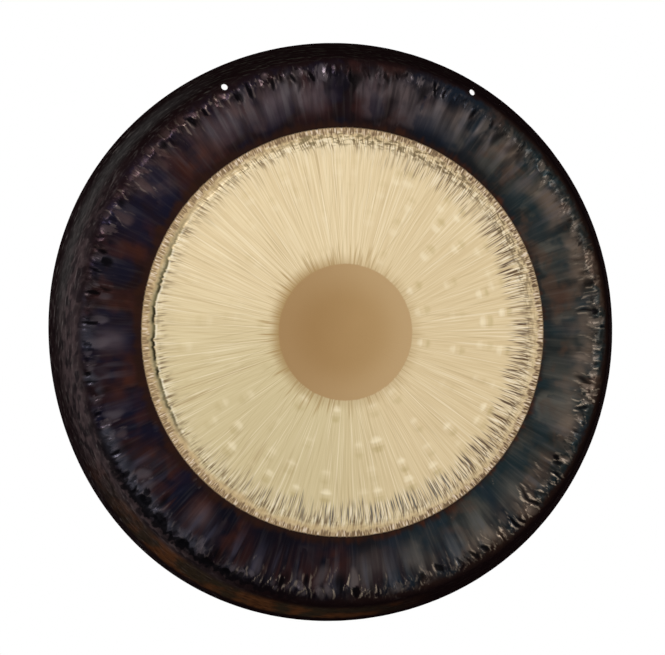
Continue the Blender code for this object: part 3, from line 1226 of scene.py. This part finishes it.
pucker_tone = bronze.mark("pucker_tone")
pucker_depth = bronze.mark("pucker_depth")
struck = pucker_depth.rise(0.05, 0.7) * pucker_tone.rise(0.45, 0.9)
sooty = pucker_depth.rise(0.1, 0.9) * (1 - pucker_tone.rise(0.2, 0.6))
struck_tone = bronze.coats(
    tone(88, 80, 84),
    (tone(120, 106, 94), right),
    (tone(80, 58, 52), north_west * 0.8),
)
dark = bronze.coats(
    dark,
    (shade, shaded * (0.92 - left * 0.2)),
    (tone(62, 62, 70), slate_patches * 0.7),
    (struck_tone, struck * (0.55 - shaded * 0.3 - left * 0.12 - calm_side * 0.2)),
    (tone(8, 7, 8), sooty * 0.88),
    (tone(9, 7, 9), (1 - crumple.rise(0.3, 0.46)) * at_puckers * 0.5),
)
print("and with the puckers", len(bronze.tree.nodes))

# %% [markdown]
# The ridges are read from the mesh. A low one is left black, and a high one gets a painted highlight.

# %% Ridges of the puckers
pucker_crest = bronze.mark("pucker_crest")
uneven = bronze.streaks(34, 400, 125).rise(0.36, 0.6) * 0.7 + 0.3
ridge_highlight_tone = bronze.coats(
    tone(112, 102, 102),
    (tone(182, 164, 144), bronze.facing(-30).rise(0.3, 0.8)),
    (tone(168, 148, 134), north_west * 0.8),
)
painted_ridge_highlight = pucker_crest.rise(0.1, 0.8) * uneven * (1 - shaded * 0.5) * crumple.rise(0.42, 0.58)
painted_ridge_highlight = painted_ridge_highlight * (1 - calm_side * 0.7)
dark = bronze.coats(
    dark,
    (tone(7, 5, 7), (pucker_crest * -1).rise(0.4, 1.0) * (1 - struck) * 0.5),
    # painted highlight on the ridges, stronger towards the right
    (ridge_highlight_tone, painted_ridge_highlight * (bronze.facing(-15) * 0.5 + 0.15 + north_west * 0.1)),
)
print("and with their ridges", len(bronze.tree.nodes))

# %% [markdown]
# ## The wall
# The wall is nearly black. On the left it has painted light: its blows are painted a lit grey-brown,
# with painted highlights on the ridges, as bright flecks on the left and fainter at the top, and a
# painted grey sheen at the upper left, and the underside is brown and orange. Where wall and
# shoulder meet at the lower left, one jagged black line runs.

# %% Wall
scale_depth = bronze.mark("scale_depth")
scale_crest = bronze.mark("scale_crest")
flecks = bronze.streaks(190, 4.2, 111, 2.0)
lit_wall_blows = bronze.coats(
    tone(64, 53, 54),
    (tone(36, 30, 32), bronze.mark("scale_tone").rise(0.1, 0.9)),
    (tone(22, 18, 20), scale_depth.rise(0.2, 1.0) * 0.5),
)
lit_wall_share = bronze.near(197, 60) * (1 - walk.rise(358, 398) * 0.85)
underside = bronze.blend(tone(78, 48, 28), tone(46, 37, 27), bronze.patches(38, 8, 2.0).rise(0.4, 0.6))
underside_share = bronze.near(-112, 44) * walk.rise(344, 358) * (1 - walk.rise(390, 403))
fleck_highlight_tone = tone(104, 98, 95)
lit_side_fleck_share = bronze.near(180, 80) * 0.8 + 0.1
painted_wall_sheen = bronze.near(152, 36) * walk.hill(350, 378, 406) * (flecks * 0.5 + drift * 0.3)
wall = bronze.coats(
    tone(20, 11, 12),
    # painted light: the lit grey-brown of the left side, with the tones of the blows in it
    (lit_wall_blows, lit_wall_share),
    (underside, underside_share * (0.95 - scale_depth.rise(0.2, 1.0) * 0.5)),
    # painted highlights on the ridges of the blows and in light flecks, at the top and on the lit left
    (tone(44, 42, 36), bronze.near(98, 40) * scale_crest.rise(0.0, 0.8) * 0.8),
    (fleck_highlight_tone, scale_crest.rise(0.1, 0.9) * lit_side_fleck_share * flecks.rise(0.4, 0.6) * 0.5),
    (fleck_highlight_tone, flecks.rise(0.54, 0.74) * lit_side_fleck_share * 0.2),
    # painted grey sheen at the upper left
    (tone(70, 69, 68), painted_wall_sheen),
    (tone(10, 8, 9), (1 - flecks.rise(0.3, 0.48)) * 0.22),
)
wall_place = walk + left * 6 - north_east * 8 - north_west * 5
jagged = walk + (crumple - 0.5) * 26 + (drift - 0.5) * 20
black_line = jagged.hill(321, 331, 341).rise(0.2, 0.7) * bronze.near(230, 40)
dark = bronze.coats(dark, (wall, wall_place.rise(330, 348)), (tone(7, 7, 9), black_line * 0.85))
print("and with the wall", len(bronze.tree.nodes))

# %% [markdown]
# ## Putting the front together
# The brushed part is half metal and half dull, because the scraping left it rough, and the fire
# skin is a little glossier. Their border is ragged by the hatching. The lines are also cut into
# the surface, by a Bump node, so that they catch the lamps: fine ones in the brushed part, and
# crumpled metal at the puckers.

# %% The front finish
rag = radius - bronze.near(0, 70) - bronze.near(188, 75) * 2.2 + (hatching - 0.5) * 3.0
brushed = 1 - rag.rise(246.8, 249.0)
fired = 1 - brushed
on_disc = 1 - radius.rise(82, 84)
on_wall = walk.rise(326, 342)
fired_metal = 0.65 + at_puckers * 0.15 - shaded * 0.4
fired_rough = 0.28 + grain * 0.1 - at_puckers * 0.08 + shaded * 0.2
brushed_relief = (nap - hairs * 0.6) * 0.08 + dashes * fringe * 0.05
pucker_relief = crumple * at_puckers * 1.2
wall_relief = flecks * on_wall * 0.12
flute_relief = grain * 0.04 + drift * (1 - on_wall) * 0.6
relief = brushed_relief * brushed + (pucker_relief + wall_relief + flute_relief) * fired
heights = {"Strength": 1.0, "Distance": 1 * MM, "Height": relief}
front = {
    "Base Color": bronze.blend(dark, face, brushed),
    "Metallic": brushed * (0.5 - on_disc * 0.25) + fired * fired_metal,
    "Roughness": brushed * 0.46 + fired * fired_rough,
    "Normal": bronze.node("ShaderNodeBump", {}, heights),
}
bronze.connect(bronze.shader, front)
print("the front finish has", len(bronze.tree.nodes), "nodes")

# %% [markdown]
# ## The inside and the edge
# Nobody brushes the inside of a gong. It keeps the dull brown of the fire, darker towards the
# rim, with soft dark strokes that run outwards. The ground edge and the drilled holes show bare
# bronze that has begun to tarnish.

# %% The inside and edge finishes
inside = MetalFinish("fire_dull_inside", {"IOR": 1.45, "Specular IOR Level": 0.3})
soot = inside.patches(70, 5, 3.0)
strokes = inside.streaks(60, 80, 9, 2.0)
inner = inside.coats(
    tone(70, 52, 40),
    (tone(40, 30, 28), inside.radius.rise(200, 300)),
    (tone(96, 72, 50), soot.rise(0.5, 0.7) * 0.5),
    (tone(28, 24, 28), strokes.rise(0.5, 0.7) * inside.radius.rise(30, 130) * 0.6),
)
inside.connect(
    inside.shader,
    {"Base Color": inner, "Metallic": soot * 0.3 + 0.5, "Roughness": strokes * 0.2 + 0.42},
)

edge = MetalFinish("ground_bronze_edge", {"Metallic": 0.8})
scuffs = edge.patches(4, 2, 2.0)
edge_brown = edge.blend(tone(70, 54, 42), tone(128, 104, 80), scuffs.rise(0.35, 0.7))
edge.connect(edge.shader, {"Base Color": edge_brown, "Roughness": scuffs * 0.3 + 0.25})
print("the sheet has the finishes", [slot.name for slot in drilled.materials])

# %% [markdown]
# ## Into the frame
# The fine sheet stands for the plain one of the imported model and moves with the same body.

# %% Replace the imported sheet
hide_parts("gong_sheet")
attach(gong, "root")
print("the sheet rides on root")

# %% [markdown]
# ## The camera
# The photograph was taken from a little to the gong's left, level with its middle and from
# about four metres away, with a long lens. How wide the left wall shows gives the angle, and
# how much nearer the left side looks gives the distance. The camera aims along the axis of
# the view, is rolled by a degree, and is shifted so the gong sits where it does in the frame.

# %% Camera
FRAME_WIDTH, FRAME_HEIGHT = 665, 655
SENSOR = 36.0
VIEW_AZIMUTH = math.radians(-12.65)
VIEW_DISTANCE = 4.241
FOCAL_PIXELS = 3500  # the lens, as pixels of the frame
ROLL = math.radians(1.1)
FACE_MIDDLE_PIXEL = (345.8, 332.2)  # where the middle of the disc falls in the frame

camera_data = bpy.data.cameras.new("portrait_camera")
camera_data.sensor_width = SENSOR
camera_data.lens = FOCAL_PIXELS / FRAME_WIDTH * SENSOR
camera_data.shift_x = (FRAME_WIDTH / 2 - FACE_MIDDLE_PIXEL[0]) / FRAME_WIDTH
camera_data.shift_y = (FACE_MIDDLE_PIXEL[1] - FRAME_HEIGHT / 2) / FRAME_WIDTH
camera = bpy.data.objects.new("portrait_camera", camera_data)
bpy.context.scene.collection.objects.link(camera)
face_middle = Vector((0, FRONT, 0))
toward_camera = Vector((math.sin(VIEW_AZIMUTH), -math.cos(VIEW_AZIMUTH), 0))
aim = (-toward_camera).to_track_quat("-Z", "Y").to_matrix() @ Matrix.Rotation(ROLL, 3, "Z")
camera.matrix_world = Matrix.Translation(face_middle + toward_camera * VIEW_DISTANCE) @ aim.to_4x4()
bpy.context.scene.camera = camera


def pixel_of(point):
    """Where a point of the gong falls in the frame."""
    seen_from = camera.matrix_world.inverted() @ Vector(point)
    x = FACE_MIDDLE_PIXEL[0] + FOCAL_PIXELS * seen_from.x / -seen_from.z
    y = FACE_MIDDLE_PIXEL[1] - FOCAL_PIXELS * seen_from.y / -seen_from.z
    return round(x, 1), round(y, 1)


for middle in hole_middles:
    past_shoulder = math.hypot(middle.x, middle.z) - SHOULDER_RADIUS
    reach = SHOULDER_RADIUS + SHOULDER_BEND * math.asin(past_shoulder / SHOULDER_BEND)
    depth = line_at(np.array([reach]))[1][0]
    print("a hanging hole falls at pixel", pixel_of((middle.x, FRONT + depth, middle.z)))

# %% [markdown]
# ## Light, room and floor
# Plain soft studio light: a large softbox high on the left, a weaker one on the right, one far
# round on the left for the wall, and a white room round them. The room is full white for the
# camera and for reflections, because bronze shows what it reflects, and dimmer for the light
# that it gives, so that the lamps model the dents. The floor lies well below and only takes the
# shadow.

# %% Lamps
def softbox(name, azimuth, height, distance, size, power):
    """A square lamp aimed at the gong, at an angle round it and an angle above it."""
    data = bpy.data.lights.new(name, "AREA")
    data.shape = "SQUARE"
    data.size = size
    data.energy = power
    lamp = bpy.data.objects.new(name, data)
    turned, raised = math.radians(azimuth), math.radians(height)
    level = math.cos(raised)
    place = Vector((math.sin(turned) * level, -math.cos(turned) * level, math.sin(raised))) * distance
    lamp.matrix_world = Matrix.Translation(place) @ place.to_track_quat("Z", "Y").to_matrix().to_4x4()
    bpy.context.scene.collection.objects.link(lamp)


softbox("key_softbox", azimuth=-30, height=30, distance=2.4, size=0.75, power=31)
softbox("fill_softbox", azimuth=50, height=8, distance=2.6, size=1.0, power=12)
softbox("side_softbox", azimuth=-96, height=14, distance=2.4, size=0.9, power=8)
print("three softboxes")

# %% [markdown]
# The room is the world's background. A Light Path node tells which rays ask for it: the camera
# and reflections see it at full strength, and all other rays at the dimmer one.

# %% White room and floor
DIM_ROOM, FULL_ROOM = 0.4, 1.0
world = bpy.data.worlds.new("white_room")
bpy.context.scene.world = world
world.use_nodes = True
room = Nodes(world.node_tree)
camera_ray = room.node("ShaderNodeLightPath", {}, {}, "Is Camera Ray")
glossy_ray = room.node("ShaderNodeLightPath", {}, {}, "Is Glossy Ray")
transmission_ray = room.node("ShaderNodeLightPath", {}, {}, "Is Transmission Ray")
shown = room.sum("MAXIMUM", room.sum("MAXIMUM", camera_ray, glossy_ray), transmission_ray)
levels = {"Value": shown, "To Min": DIM_ROOM, "To Max": FULL_ROOM}
strength = room.node("ShaderNodeMapRange", {}, levels)
background = room.tree.nodes["Background"]
room.connect(background, {"Color": (1, 1, 1, 1), "Strength": strength})

FLOOR_HEIGHT = -0.72
FLOOR_RADIUS = 1.3
bpy.ops.mesh.primitive_circle_add(
    vertices=96,
    radius=FLOOR_RADIUS,
    fill_type="NGON",
    location=(0, 0, FLOOR_HEIGHT),
)
floor = bpy.context.object
floor.name = "studio_floor"
floor_finish = Finish("pale_floor", {"Base Color": (0.86, 0.86, 0.86, 1), "Roughness": 0.9})
floor.data.materials.append(floor_finish.material)
bpy.context.scene.view_settings.view_transform = "Standard"
print("the room and the floor are ready")
